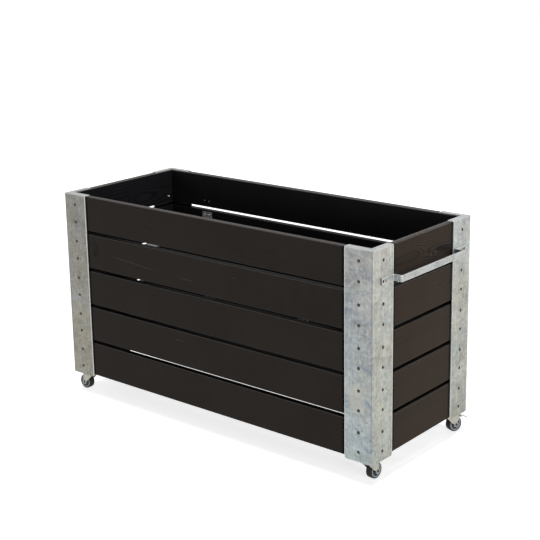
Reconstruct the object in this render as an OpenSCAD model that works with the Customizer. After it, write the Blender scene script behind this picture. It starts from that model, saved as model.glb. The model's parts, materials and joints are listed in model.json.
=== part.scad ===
// Rolling planter: a box of dark boards held by folded steel corner posts, on four small swivel
// casters, with a flat-bar handle on one short end. Millimetres, +Z up, standing on Z = 0, with the
// middle of the box on the Z axis and the handle at the +X end.

/* [Box] */
// Overall length over the corner posts, without the handle
box_l = 1280; // [700:5:1800]
// Overall width over the corner posts
box_w = 524; // [400:2:800]

/* [Boards] */
// Height of one wall board
board_h = 117; // [95:1:150]
// Open gap between two boards of a wall
board_gap = 12.5; // [6:0.5:25]
// Thickness of the boards
board_t = 24; // [16:0.5:28]
// Radius on the long edges of the boards
board_round = 2.5; // [1:0.5:6]
// Gap between the end of a short board and the long board beside it
board_fit = 0.3; // [0.2:0.1:2]

/* [Corner posts] */
// Width of each flange of a post
flange_w = 100; // [75:1:140]
// Thickness of the folded steel sheet
sheet_t = 2.5; // [1.5:0.1:4]
// Outer radius of the corner fold
fold_r = 4; // [3:0.25:6]
// Gap between the top fold and the boards under it
lip_gap = 0.3; // [0.2:0.1:2]
// Reach of the top fold over the boards, from the outer face of the flange
lip_reach = 22.5; // [14:0.5:28]
// How far the posts reach below the lowest boards
post_drop = 8; // [8:0.5:30]
// Reach of the post's base plate from the outer corner
base_reach = 76; // [72:1:95]
// Corner cut off the base plate
base_cut = 14; // [2:1:20]

/* [Board screws] */
// Distance of a screw column from the outer corner of the post
screw_in = 50; // [40:1:70]
// Height of the lower screw above the lower edge of its board
screw_low = 23; // [15:1:40]
// Height of the upper screw above the lower edge of its board
screw_high = 84; // [60:1:90]
// Diameter of the screw shank
screw_d = 4.5; // [3:0.25:6]
// Length of the screw under its head
screw_l = 18; // [12:1:20]
// Diameter of the screw head
screw_head_d = 8.5; // [7:0.25:10]
// Height of the screw head
screw_head_h = 2.2; // [1.5:0.1:3.5]
// Clearance round a screw shank
screw_fit = 0.1; // [0.05:0.05:0.3]

/* [Handle] */
// Height of the flat bar
bar_h = 20; // [16:1:40]
// Thickness of the flat bar
bar_t = 4; // [3:0.25:6]
// Distance from the post to the outer face of the bar
bar_out = 33; // [30:1:90]
// Distance of the end of each foot from the outer corner of the post
foot_end_in = 31; // [20:0.5:34]
// Length of each foot, from the outer face of its leg
foot_l = 64; // [50:1:68]
// Outer radius of the bends of the bar
bar_bend_r = 6; // [6:0.5:12]
// Distance of the handle screw from the outer corner of the post
handle_screw_in = 56; // [54:1:64]
// Length of the screws that close the handle holes at the end without a handle
end_screw_l = 32; // [30:0.5:36]
// Distance of the spare hole from the handle screw
spare_hole_step = 12; // [9:0.5:14]
// Diameter of the holes in the feet
foot_hole_d = 5.5; // [5:0.25:7]
// Diameter of the handle screw head
handle_head_d = 9; // [8:0.25:11]

/* [Straps and floor] */
// Distance of the outer straps from the ends of the box
strap_in = 200; // [160:1:290]
// Width of a strap
strap_w = 45; // [30:1:60]
// Thickness of a strap
strap_t = 3; // [2:0.25:5]
// Height of the strap's turned-up ends
strap_h = 66; // [45:1:75]
// Outer radius of the bends of a strap
strap_bend_r = 8; // [6:0.5:9]
// Distance of the top of a cross tie below the upper edge of its board
tie_drop = 5.5; // [2:0.5:20]
// Distance between the two screws of a strap end
strap_screw_step = 21; // [14:0.5:24]
// Distance of those screws below the top of the strap
strap_screw_drop = 10; // [8:0.5:16]
// Diameter of the strap screw shank
strap_screw_d = 4; // [3:0.25:5]
// Length of a strap screw under its head
strap_screw_l = 16; // [10:0.5:18]
// Length of a floor screw under its head
floor_screw_l = 18; // [12:0.5:20]
// Depth of the spare pilot holes in the top long boards
pilot_depth = 5; // [2:0.5:12]
// Width of a gap between two floor boards
floor_gap = 8; // [4:0.5:15]
// Gap between the floor and the walls at the sides
floor_side_gap = 4; // [3:0.5:10]
// Gap between the floor and the walls at the ends
floor_end_gap = 15; // [2:1:30]
// Thickness of the floor boards
floor_t = 20; // [18:0.5:28]

/* [Casters] */
// Distance of the swivel axis from the outer faces of the post
caster_in = 42; // [38:0.5:44]
// Height of a caster from the floor to the top of its plate
caster_h = 70; // [66:0.5:90]
// Diameter of the wheel
wheel_d = 50; // [40:1:52]
// Width of the tyre
tyre_w = 22; // [16:0.5:24]
// Distance of the axle behind the swivel axis
trail = 23; // [18:0.5:25]
// Thickness of the fork and plate sheet
fork_t = 2.5; // [2:0.1:3]
// Side of the square top plate
plate_w = 60; // [56:1:66]
// Distance between two plate bolts
plate_bolt_step = 42; // [40:0.5:44]
// Diameter of the axle
axle_d = 6; // [5:0.25:8]
// Radial clearance of the parts that turn on a pin
turn_fit = 0.06; // [0.03:0.01:0.1]
// Gap between faces that turn past each other
turn_gap = 0.3; // [0.2:0.05:0.6]
// Diameter of the kingpin
kingpin_d = 10; // [8:0.25:12]
// Direction in which the front right wheel trails
heading_front_right = 86; // [0:1:360]
// Direction in which the rear right wheel trails
heading_rear_right = 70; // [0:1:360]
// Direction in which the front left wheel trails
heading_front_left = 181; // [0:1:360]
// Direction in which the rear left wheel trails
heading_rear_left = 100; // [0:1:360]

/* [Brake] */
// Distance of the pedal tip from the swivel axis
pedal_reach = 70; // [60:1:78]
// Width of the pedal's toe plate
pedal_w = 25; // [18:0.5:30]
// Thickness of the pedal sheet
pedal_t = 2; // [1.5:0.1:3]
// Diameter of the brake pin
brake_pin_d = 4; // [3:0.25:5]

/* [Hidden] */
rows = 5;
pitch = board_h + board_gap;
post_z = caster_h;
boards_z = post_z + post_drop;
boards_top = boards_z + (rows - 1) * pitch + board_h;
post_top = boards_top + lip_gap + sheet_t;
wall_in = sheet_t + board_t;
long_l = box_l - 2 * fold_r;
short_l = box_w - 2 * (wall_in + board_fit);
lip_r = sheet_t + 1.2;
lip_seam = 0.4;
handle_z = boards_z + (rows - 1) * pitch + screw_low;
handle_row = rows;
flange_round = 6;
tip_room = 0.5;

// Straps: cross ties in the fourth row hold the long walls together, bearers in the second row
// carry the floor
tie_row = 4;
bearer_row = 2;
strap_x = box_l / 2 - strap_in;
tie_xs = [-strap_x, strap_x];
bearer_xs = [-strap_x, 0, strap_x];
tie_z = boards_z + (tie_row - 1) * pitch + board_h - tie_drop - strap_h;
bearer_z = boards_z + (bearer_row - 1) * pitch + 1;
inner_half = box_w / 2 - wall_in;
floor_z = bearer_z + strap_t;
floor_n = 4;
floor_w = 2 * (inner_half - strap_t - floor_side_gap);
floor_board_w = (floor_w - (floor_n - 1) * floor_gap) / floor_n;
floor_l = box_l - 2 * (wall_in + floor_end_gap);
function floor_y(k) = (k - 1) * (floor_board_w + floor_gap) - floor_w / 2;

// Caster: local frame with the swivel axis on Z, the plate's top at Z = 0 and the wheel towards +X
wheel_r = wheel_d / 2;
axle_z = wheel_r - caster_h;
race_r = 20;
race_h = 2.2;
crown_r = 23;
crown_top = -fork_t - race_h - turn_gap;
crown_low = crown_top - 7;
hub_half = tyre_w / 2 + 1.6;
leg_in = hub_half + turn_gap;
leg_out = leg_in + fork_t;
boss_r = 8.5;
leg_rear = 5;
leg_back = 16;
leg_edge_x = 8;
leg_edge_high = 22.4;
leg_edge_low = 6.4;
rivet_head_r = 8;
rivet_head_h = 2.5;
rim_r = wheel_r - 4.5;
axle_head_r = 4.5;
axle_head_h = 2.6;
axle_socket_r = 2.3;
axle_socket_h = 2.2;
bolt_d = 6;
bolt_head_h = 2.2;
nut_h = 4.8;

// Brake: the pedal turns on a pin through the fork, and a shoe under it comes down on the tyre
pin_ahead = 10.5;
pin_rise = 29;
pin_x = trail + pin_ahead;
pin_z = axle_z + pin_rise;
ear_r = 5.2;
pedal_slope = 27;
brake_press = 15;
knuckle_r = brake_pin_d / 2 + 1.6;
pedal_l = (pedal_reach - pin_x) / cos(pedal_slope);
shoe_turn = pedal_slope + brake_press;
shoe_x = (axle_z - pin_z) * -sin(shoe_turn) - (pin_x - trail) * cos(shoe_turn);
shoe_h = (pin_x - trail) * sin(shoe_turn) + (pin_z - axle_z) * cos(shoe_turn) - wheel_r - turn_gap;
shoe_l = 5;

FR = [1, -1, heading_front_right, false];
RR = [1, 1, heading_rear_right, true];
FL = [-1, -1, heading_front_left, false];
RL = [-1, 1, heading_rear_left, true];
CASTERS = [FR, RR, FL, RL];

wood = [0.13, 0.12, 0.11];
steel = [0.70, 0.72, 0.71];
zinc = [0.78, 0.77, 0.70];
screw_colour = [0.36, 0.33, 0.30];
rubber = [0.16, 0.15, 0.15];
plastic = [0.42, 0.48, 0.53];
$fn = 32;

// ---- helpers ----

// Puts a corner frame at a corner of the box: +X runs along the long wall, +Y along the short one
module at_corner(c) {
    translate([c[0] * box_l / 2, c[1] * box_w / 2, 0])
            mirror([c[0] > 0 ? 1 : 0, 0, 0])
                mirror([0, c[1] > 0 ? 1 : 0, 0])
                    children();
}

module at_swivel(c) {
    translate([c[0] * (box_l / 2 - caster_in), c[1] * (box_w / 2 - caster_in), caster_h])
            children();
}

module at_fork(c) {
    at_swivel(c)
        rotate([0, 0, c[2]])
            children();
}

// Rounded rectangle from [0, 0] to [w, h], with true arcs
module round_rect(w, h, r) {
    translate([r, 0])
        square([w - 2 * r, h]);
    translate([0, r])
        square([w, h - 2 * r]);
    for (x = [r, w - r], y = [r, h - r])
        translate([x, y])
            circle(r);
}

// A quarter of a bent strip about the origin, in the quadrant that starts at angle a
module bend(r_out, t, a) {
    rotate(a)
        intersection() {
            difference() {
                circle(r_out);
                circle(r_out - t);
            }
            square(r_out + 1);
        }
}

// A screw with its head below Z = 0 and its shank along +Z
module screw(d, l, head_d, head_h) {
    r = head_d / 2;
    difference() {
        rotate_extrude($fn = 24)
            polygon([[0, -head_h], [0.5 * r, -0.94 * head_h], [0.82 * r, -0.62 * head_h],
                [r, -0.12 * head_h], [r, 0], [0, 0]]);
        translate([0, 0, -head_h - 1])
            cylinder(h = 1 + 0.5 * head_h, r = 0.26 * head_d, $fn = 6);
    }
    cylinder(h = l, r = d / 2, $fn = 24);
}

module drill(d, l) {
    translate([0, 0, -1])
        cylinder(h = l + 1, r = d / 2 + screw_fit, $fn = 24);
}

// A board along X: its outer face at Y = 0, its inner face at Y = board_t
module board(l) {
    translate([-l / 2, 0, 0])
        rotate([90, 0, 90])
            linear_extrude(l)
                round_rect(board_t, board_h, board_round);
}

function row_z(k) = boards_z + (k - 1) * pitch;

// ---- walls ----

// Where the strap screws enter the boards of a row, as [x, height over the board's lower edge]
function strap_entries(k) =
    k == bearer_row ? [for (x = bearer_xs) [x, bearer_z + strap_h - strap_screw_drop - row_z(k)]]
    : k == tie_row ? [for (x = tie_xs) [x, board_h - tie_drop - strap_screw_drop]]
    : k == rows ? [for (x = tie_xs) [x, screw_low]] : [];

module long_board(k, side) {
    strap_hole = k > tie_row ? pilot_depth : strap_screw_l - strap_t + tip_room;
    color(wood)
        translate([0, side * (box_w / 2 - sheet_t), row_z(k)])
            mirror([0, side > 0 ? 1 : 0, 0])
                difference() {
                    board(long_l);
                    for (x = [-1, 1], z = [screw_low, screw_high])
                        translate([x * (box_l / 2 - screw_in), 0, z])
                            rotate([-90, 0, 0])
                                drill(screw_d, screw_l - sheet_t + tip_room);
                    for (e = strap_entries(k), s = [-1, 1])
                        translate([e[0] + s * strap_screw_step / 2, board_t, e[1]])
                            rotate([90, 0, 0])
                                drill(strap_screw_d, strap_hole);
                }
}

// Length of a screw through the short wall: the one that closes a handle hole is longer
function end_screw_length(side, k, z) =
    side < 0 && k == handle_row && z == screw_low ? end_screw_l : screw_l;

module short_board(k, side) {
    handled = side > 0 && k == handle_row;
    color(wood)
        translate([side * (box_l / 2 - sheet_t), 0, row_z(k)])
                rotate([0, 0, 90])
                    mirror([0, side < 0 ? 1 : 0, 0])
                        difference() {
                            board(short_l);
                            for (x = [-1, 1], z = handled ? [screw_high] : [screw_low, screw_high])
                                translate([x * (box_w / 2 - screw_in), 0, z])
                                    rotate([-90, 0, 0])
                                        drill(screw_d, end_screw_length(side, k, z) - sheet_t + tip_room);
                            if (handled)
                                for (x = [-1, 1])
                                    translate([x * (box_w / 2 - handle_screw_in), 0, screw_low])
                                        rotate([-90, 0, 0])
                                            drill(screw_d, screw_l - sheet_t + tip_room);
                        }
}

// ---- corner posts ----

module angle_profile() {
    translate([fold_r, 0])
        square([flange_w - fold_r, sheet_t]);
    translate([0, fold_r])
        square([sheet_t, flange_w - fold_r]);
    translate([fold_r, fold_r])
        bend(fold_r, sheet_t, 180);
}

// Side view of the top fold: the bend and the edge that lies over the boards
module lip_section() {
    translate([lip_r, -lip_r])
        bend(lip_r, sheet_t, 90);
    translate([lip_r, -sheet_t])
        square([lip_reach - lip_r, sheet_t]);
}

// The top fold of one flange, cut to a mitre at the corner
module lip() {
    intersection() {
        translate([0, 0, post_top])
            rotate([90, 0, 90])
                linear_extrude(flange_w)
                    lip_section();
        linear_extrude(post_top)
            polygon([[lip_seam / 2, 0], [flange_w, 0], [flange_w, lip_reach],
                [lip_reach + lip_seam / 2, lip_reach]]);
    }
}

module base_profile() {
    angle_profile();
    difference() {
        translate([sheet_t, sheet_t])
            square(base_reach - sheet_t);
        translate([base_reach, base_reach])
            rotate(45)
                square(base_cut * sqrt(2), center = true);
        square(fold_r);
    }
    translate([fold_r, fold_r])
        circle(fold_r);
}

// Stands a child on the outer face at each screw of a post's two flanges
module long_flange_screws() {
    for (k = [1:rows], z = [screw_low, screw_high])
        translate([screw_in, 0, row_z(k) + z])
            rotate([-90, 0, 0])
                children();
}

module short_flange_screw(k, z) {
    translate([0, screw_in, row_z(k) + z])
        rotate([0, 90, 0])
            children();
}

function short_flange_heights(c, k) = c[0] > 0 && k == handle_row ? [screw_high] : [screw_low, screw_high];

module plate_bolt_places() {
    for (x = [-1, 1], y = [-1, 1])
        translate([caster_in + x * plate_bolt_step / 2, caster_in + y * plate_bolt_step / 2, post_z])
            children();
}

// The waste outside a rounded lower corner at the free end of a flange
module flange_corner() {
    difference() {
        translate([0, -1])
            square(flange_round + 1);
        translate([0, flange_round])
            circle(flange_round);
    }
}

module post(c) {
    color(steel)
        at_corner(c)
            difference() {
                union() {
                    translate([0, 0, post_z])
                        linear_extrude(post_top - lip_r - post_z)
                            angle_profile();
                    lip();
                    mirror([1, -1, 0])
                        lip();
                    translate([0, 0, post_z])
                        linear_extrude(sheet_t)
                            base_profile();
                }
                long_flange_screws()
                    drill(screw_d, sheet_t + 1);
                for (k = [1:rows], z = short_flange_heights(c, k))
                    short_flange_screw(k, z)
                        drill(screw_d, sheet_t + 1);
                plate_bolt_places()
                    drill(bolt_d, sheet_t + 1);
                for (m = [0, 1])
                    mirror([m, -m, 0])
                        translate([flange_w - flange_round, sheet_t + 1, post_z])
                            rotate([90, 0, 0])
                                linear_extrude(sheet_t + 2)
                                    flange_corner();
                if (c[0] > 0)
                    for (y = [handle_screw_in, handle_screw_in - spare_hole_step])
                        translate([0, y, handle_z])
                            rotate([0, 90, 0])
                                drill(screw_d, sheet_t + 1);
            }
}

module post_screws() {
    color(screw_colour)
        for (c = CASTERS)
            at_corner(c) {
                long_flange_screws()
                    screw(screw_d, screw_l, screw_head_d, screw_head_h);
                for (k = [1:rows], z = short_flange_heights(c, k))
                    short_flange_screw(k, z)
                        screw(screw_d, end_screw_length(c[0], k, z), screw_head_d, screw_head_h);
            }
}

// ---- handle ----

// Half of the hat-shaped bar, from the middle to the end of its foot, seen from above
module half_hat() {
    x0 = 0;
    x1 = bar_out;
    y1 = box_w / 2 - foot_end_in - foot_l;
    r = bar_bend_r;
    translate([x1 - bar_t, 0])
        square([bar_t, y1 - r]);
    translate([x1 - r, y1 - r])
        bend(r, bar_t, 0);
    translate([x0 + r, y1 - bar_t])
        square([x1 - 2 * r, bar_t]);
    translate([x0 + r, y1 - bar_t + r])
        bend(r, bar_t, 180);
    translate([x0, y1 - bar_t + r])
        square([bar_t, foot_l - r]);
}

module at_handle() {
    translate([box_l / 2, 0, handle_z])
            children();
}

module handle() {
    color(steel)
        at_handle()
            difference() {
                translate([0, 0, -bar_h / 2])
                    linear_extrude(bar_h) {
                        half_hat();
                        mirror([0, 1])
                            half_hat();
                    }
                for (s = [-1, 1], y = [handle_screw_in, handle_screw_in - spare_hole_step])
                    translate([-1, s * (box_w / 2 - y), 0])
                        rotate([0, 90, 0])
                            cylinder(h = bar_t + 2, r = foot_hole_d / 2, $fn = 32);
            }
}

module handle_screws() {
    color(screw_colour)
        at_handle()
            for (s = [-1, 1])
                translate([bar_t, s * (box_w / 2 - handle_screw_in), 0])
                    rotate([0, -90, 0])
                        screw(screw_d, screw_l, handle_head_d, screw_head_h);
}

// ---- straps and floor ----

// Half of a strap, seen along the box: flat to the wall, then bent up against it
module half_strap() {
    r = strap_bend_r;
    square([inner_half - r, strap_t]);
    translate([inner_half - r, r])
        bend(r, strap_t, 270);
    translate([inner_half - strap_t, r])
        square([strap_t, strap_h - r]);
}

module strap(x, z, under_floor) {
    screw_z = strap_h - strap_screw_drop;
    color(steel)
        translate([x, 0, z])
            difference() {
                translate([-strap_w / 2, 0, 0])
                    rotate([90, 0, 90])
                        linear_extrude(strap_w) {
                            half_strap();
                            mirror([1, 0])
                                half_strap();
                        }
                for (s = [-1, 1], y = [-1, 1])
                    translate([s * strap_screw_step / 2, y * (inner_half - strap_t), screw_z])
                        rotate([-90 * y, 0, 0])
                            drill(strap_screw_d, strap_t + 1);
                if (under_floor)
                    for (k = [1:floor_n])
                        translate([0, floor_y(k) + floor_board_w / 2, 0])
                            drill(strap_screw_d, strap_t + 1);
            }
}

module strap_screw(l) {
    screw(strap_screw_d, l, 1.8 * strap_screw_d, 0.45 * strap_screw_d);
}

module strap_end_screws(x, z) {
    for (s = [-1, 1], y = [-1, 1])
        translate([x + s * strap_screw_step / 2, y * (inner_half - strap_t), z + strap_h - strap_screw_drop])
            rotate([-90 * y, 0, 0])
                strap_screw(strap_screw_l);
}

module strap_screws() {
    color(screw_colour) {
        for (x = tie_xs)
            strap_end_screws(x, tie_z);
        for (x = bearer_xs)
            strap_end_screws(x, bearer_z);
        for (x = bearer_xs, k = [1:floor_n])
            translate([x, floor_y(k) + floor_board_w / 2, bearer_z])
                strap_screw(floor_screw_l);
    }
}

module floor_board(k) {
    color(wood)
        difference() {
            translate([-floor_l / 2, floor_y(k), floor_z])
                rotate([90, 0, 90])
                    linear_extrude(floor_l)
                        round_rect(floor_board_w, floor_t, board_round);
            for (x = bearer_xs)
                translate([x, floor_y(k) + floor_board_w / 2, floor_z])
                    drill(strap_screw_d, floor_screw_l - strap_t + tip_room);
        }
}

// ---- casters ----

// The top plate with its pressed race and the riveted kingpin
module caster_plate(c) {
    rivet_z = crown_top - fork_t - turn_gap;
    color(zinc)
        at_swivel(c) {
            difference() {
                union() {
                    translate([-plate_w / 2, -plate_w / 2, -fork_t])
                        linear_extrude(fork_t)
                            round_rect(plate_w, plate_w, 5);
                    translate([0, 0, -fork_t - race_h])
                        cylinder(h = race_h, r1 = race_r, r2 = race_r + 1.5);
                }
                for (x = [-1, 1], y = [-1, 1])
                    translate([x * plate_bolt_step / 2, y * plate_bolt_step / 2, -fork_t])
                        drill(bolt_d, fork_t + 1);
            }
            translate([0, 0, rivet_z - rivet_head_h])
                cylinder(h = rivet_head_h, r1 = rivet_head_r - 1.5, r2 = rivet_head_r);
            translate([0, 0, rivet_z])
                cylinder(h = -fork_t - rivet_z, r = kingpin_d / 2);
        }
}

module caster_bolts() {
    stack = fork_t + sheet_t + nut_h;
    color(zinc)
        for (c = CASTERS)
            at_corner(c)
                plate_bolt_places() {
                    translate([0, 0, -fork_t])
                        screw(bolt_d, stack + 0.4, 2 * bolt_d, bolt_head_h);
                    translate([0, 0, sheet_t])
                        cylinder(h = nut_h, r = bolt_d * 0.96, $fn = 6);
                }
}

// Side view of a fork leg: flat under the crown, a straight slanting front edge, a round axle boss
module leg_profile(braked) {
    polygon([[-leg_back, crown_top - 1], [-leg_back, crown_low - 2],
        [-leg_edge_x, axle_z + leg_edge_high], [leg_edge_x, axle_z + leg_edge_low],
        [trail, axle_z - 2], [trail + leg_rear, axle_z], [trail + leg_rear, pin_z - 2],
        [trail + 4, crown_low], [leg_back, crown_top - 1]]);
    translate([trail, axle_z])
        circle(boss_r);
    if (braked) {
        translate([pin_x, pin_z])
            circle(ear_r);
        polygon([[trail + leg_rear, axle_z + boss_r], [pin_x + ear_r, pin_z], [pin_x, pin_z + ear_r],
            [trail, crown_low], [trail, axle_z + boss_r]]);
    }
}

// Section of the domed crown: a cup whose rolled edge hangs below it
module crown_section() {
    round = 3;
    translate([0, crown_top - fork_t])
        square([crown_r - round, fork_t]);
    translate([crown_r - round, crown_top - round])
        bend(round, fork_t, 0);
    translate([crown_r - fork_t, crown_low])
        square([fork_t, crown_top - round - crown_low]);
}

module fork(c) {
    color(zinc)
        at_fork(c)
            difference() {
                union() {
                    rotate_extrude()
                        crown_section();
                    for (y = [-leg_in, leg_out])
                        translate([0, y, 0])
                            rotate([90, 0, 0])
                                linear_extrude(fork_t)
                                    leg_profile(c[3]);
                }
                translate([0, 0, crown_top - fork_t - 1])
                    cylinder(h = fork_t + 2, r = kingpin_d / 2 + turn_fit);
                translate([trail, 0, axle_z])
                    rotate([90, 0, 0])
                        cylinder(h = 2 * leg_out + 2, r = axle_d / 2 + turn_fit, center = true);
                if (c[3])
                    translate([pin_x, 0, pin_z])
                        rotate([90, 0, 0])
                            cylinder(h = 2 * leg_out + 2, r = brake_pin_d / 2 + turn_fit, center = true);
            }
}

// The axle: a pin through both legs, closed on each side by a rounded head with a hexagon socket
module axle(c) {
    color(zinc)
        at_wheel(c)
            difference() {
                union() {
                    cylinder(h = 2 * leg_out, r = axle_d / 2, center = true);
                    for (m = [0, 1])
                        mirror([0, 0, m])
                            translate([0, 0, leg_out])
                                axle_head();
                }
                for (m = [0, 1])
                    mirror([0, 0, m])
                        translate([0, 0, leg_out + axle_head_h - axle_socket_h])
                            cylinder(h = axle_socket_h + 1, r = axle_socket_r, $fn = 6);
            }
}

module axle_head() {
    rotate_extrude()
        polygon([[0, 0], [axle_head_r, 0], [axle_head_r, 0.35 * axle_head_h],
            [0.8 * axle_head_r, 0.8 * axle_head_h], [0.45 * axle_head_r, axle_head_h], [0, axle_head_h]]);
}

module at_wheel(c) {
    at_fork(c)
        translate([trail, 0, axle_z])
            rotate([90, 0, 0])
                children();
}

// The wheel body: a running bush, a thin disc and the rim under the tyre
module hub(c) {
    bore_r = axle_d / 2 + turn_fit;
    half = tyre_w / 2 - 1.5;
    disc = 3.5;
    color(plastic)
        at_wheel(c)
            rotate_extrude()
                polygon([[bore_r, -hub_half], [7, -hub_half], [8, -disc], [rim_r - 4.5, -disc],
                    [rim_r - 3, -half], [rim_r, -half], [rim_r, half], [rim_r - 3, half],
                    [rim_r - 4.5, disc], [8, disc], [7, hub_half], [bore_r, hub_half]]);
}

module tyre(c) {
    w = tyre_w / 2;
    shoulder = 3;
    color(rubber)
        at_wheel(c)
            rotate_extrude($fn = 64) {
                translate([rim_r, -w])
                    square([wheel_r - shoulder - rim_r, tyre_w]);
                translate([rim_r, -w + shoulder])
                    square([wheel_r - rim_r, tyre_w - 2 * shoulder]);
                for (z = [-1, 1])
                    translate([wheel_r - shoulder, z * (w - shoulder)])
                        circle(shoulder);
            }
}

// Side view of the pedal, along its own slope: a knuckle round the pin, the tongue and the shoe
module pedal_profile() {
    circle(knuckle_r);
    translate([0, knuckle_r - pedal_t])
        square([pedal_l, pedal_t]);
    translate([shoe_x - shoe_l / 2, -shoe_h])
        square([shoe_l, shoe_h + knuckle_r - pedal_t / 2]);
}

module brake_pedal(c) {
    inner_w = 2 * leg_in - 2 * turn_gap;
    toe_x = ear_r + 3;
    color(zinc)
        at_fork(c)
            translate([pin_x, 0, pin_z])
                rotate([0, pedal_slope, 0]) {
                    rotate([90, 0, 0])
                        translate([0, 0, -inner_w / 2])
                            linear_extrude(inner_w)
                                pedal_profile();
                    translate([toe_x, -pedal_w / 2, knuckle_r - pedal_t])
                        linear_extrude(pedal_t)
                            round_rect(pedal_l - toe_x + 2, pedal_w, 4);
                    rotate([90, 0, 0])
                        cylinder(h = 2 * leg_out + 2, r = brake_pin_d / 2, center = true);
                }
}

long_board(1, -1);  // front_board_1
long_board(2, -1);  // front_board_2
long_board(3, -1);  // front_board_3
long_board(4, -1);  // front_board_4
long_board(5, -1);  // front_board_5
long_board(1, 1);  // back_board_1
long_board(2, 1);  // back_board_2
long_board(3, 1);  // back_board_3
long_board(4, 1);  // back_board_4
long_board(5, 1);  // back_board_5
short_board(1, -1);  // left_board_1
short_board(2, -1);  // left_board_2
short_board(3, -1);  // left_board_3
short_board(4, -1);  // left_board_4
short_board(5, -1);  // left_board_5
short_board(1, 1);  // right_board_1
short_board(2, 1);  // right_board_2
short_board(3, 1);  // right_board_3
short_board(4, 1);  // right_board_4
short_board(5, 1);  // right_board_5
post(FR);  // post_front_right
post(RR);  // post_rear_right
post(FL);  // post_front_left
post(RL);  // post_rear_left
post_screws();
handle();
handle_screws();
strap(-strap_x, tie_z, false);  // cross_tie_left
strap(strap_x, tie_z, false);  // cross_tie_right
strap(-strap_x, bearer_z, true);  // floor_bearer_left
strap(0, bearer_z, true);  // floor_bearer_middle
strap(strap_x, bearer_z, true);  // floor_bearer_right
strap_screws();
floor_board(1);  // floor_board_1
floor_board(2);  // floor_board_2
floor_board(3);  // floor_board_3
floor_board(4);  // floor_board_4
caster_plate(FR);  // caster_plate_front_right
caster_plate(RR);  // caster_plate_rear_right
caster_plate(FL);  // caster_plate_front_left
caster_plate(RL);  // caster_plate_rear_left
caster_bolts();
fork(FR);  // fork_front_right
fork(RR);  // fork_rear_right
fork(FL);  // fork_front_left
fork(RL);  // fork_rear_left
axle(FR);  // axle_front_right
axle(RR);  // axle_rear_right
axle(FL);  // axle_front_left
axle(RL);  // axle_rear_left
hub(FR);  // hub_front_right
hub(RR);  // hub_rear_right
hub(FL);  // hub_front_left
hub(RL);  // hub_rear_left
tyre(FR);  // tyre_front_right
tyre(RR);  // tyre_rear_right
tyre(FL);  // tyre_front_left
tyre(RL);  // tyre_rear_left
brake_pedal(RR);  // brake_pedal_rear_right
brake_pedal(RL);  // brake_pedal_rear_left
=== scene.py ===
# %% [markdown]
# A rolling planter: a long box of dark slats held by four folded, galvanised corner posts. It rolls
# on four small swivel casters, and a flat bar on one short end is the handle. The solids come from
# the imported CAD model, in metres, with +Z up and the ground at zero. This lesson gives them their
# finishes, and models again the small pieces whose shape carries the look.

# %% Load the frame
import json
import math

import bmesh
import bpy
from mathutils import Matrix, Vector


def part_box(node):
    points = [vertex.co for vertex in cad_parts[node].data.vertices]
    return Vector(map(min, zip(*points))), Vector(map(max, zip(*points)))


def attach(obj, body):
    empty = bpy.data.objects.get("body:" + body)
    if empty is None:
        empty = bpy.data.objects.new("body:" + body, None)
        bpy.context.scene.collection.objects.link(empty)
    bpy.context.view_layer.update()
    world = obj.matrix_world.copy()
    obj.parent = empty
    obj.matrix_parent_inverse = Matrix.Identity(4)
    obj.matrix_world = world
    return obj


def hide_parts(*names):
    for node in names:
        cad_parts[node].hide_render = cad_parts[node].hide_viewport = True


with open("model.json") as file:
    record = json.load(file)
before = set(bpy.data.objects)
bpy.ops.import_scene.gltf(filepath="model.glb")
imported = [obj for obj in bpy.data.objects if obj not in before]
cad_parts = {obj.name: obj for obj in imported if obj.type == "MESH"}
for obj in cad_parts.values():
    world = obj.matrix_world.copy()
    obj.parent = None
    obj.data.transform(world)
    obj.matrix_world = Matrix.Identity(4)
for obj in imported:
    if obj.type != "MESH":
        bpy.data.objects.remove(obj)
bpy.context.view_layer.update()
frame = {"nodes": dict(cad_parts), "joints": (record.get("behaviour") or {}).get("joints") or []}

# %% [markdown]
# The camera stands as the photographer did: to the front and right of the handle end, looking a
# little down. Its angles are turned into the three axes of the camera by hand, because then the
# small roll of the picture can be added as a plain turn about the line of sight.

# %% Camera
AZIMUTH, PITCH, ROLL = math.radians(39.76), math.radians(14.05), math.radians(-0.93)
EYE = Vector((2.5291, -2.9780, 1.6294))
PICTURE = 540
SENSOR = 36.0
FOCAL_PIXELS = 1236.2
CENTRE_ROW = 222

eye_back = Vector((math.sin(AZIMUTH) * math.cos(PITCH), -math.cos(AZIMUTH) * math.cos(PITCH),
                   math.sin(PITCH)))
eye_right = Vector((math.cos(AZIMUTH), math.sin(AZIMUTH), 0))
eye_up = eye_back.cross(eye_right)
turned_right = eye_right * math.cos(ROLL) + eye_up * math.sin(ROLL)
turned_up = eye_up * math.cos(ROLL) - eye_right * math.sin(ROLL)

camera_data = bpy.data.cameras.new("camera")
camera_data.sensor_width = SENSOR
camera_data.lens = FOCAL_PIXELS * SENSOR / PICTURE
camera_data.shift_y = (CENTRE_ROW - PICTURE / 2) / PICTURE
camera_data.clip_end = 100
camera = bpy.data.objects.new("camera", camera_data)
camera_turn = Matrix((turned_right, turned_up, eye_back)).transposed().to_4x4()
camera.matrix_world = Matrix.Translation(EYE) @ camera_turn
bpy.context.scene.collection.objects.link(camera)
bpy.context.scene.camera = camera
print("lens", round(camera_data.lens, 2), "mm, shift", round(camera_data.shift_y, 3))

# %% [markdown]
# Each finish is a Principled shader fed by groups of nodes. They could be made in the editor, but in
# code the same few lines serve for wood, zinc and rubber. All patterns are read in Object
# coordinates, so they stay on the piece when it moves.

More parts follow.
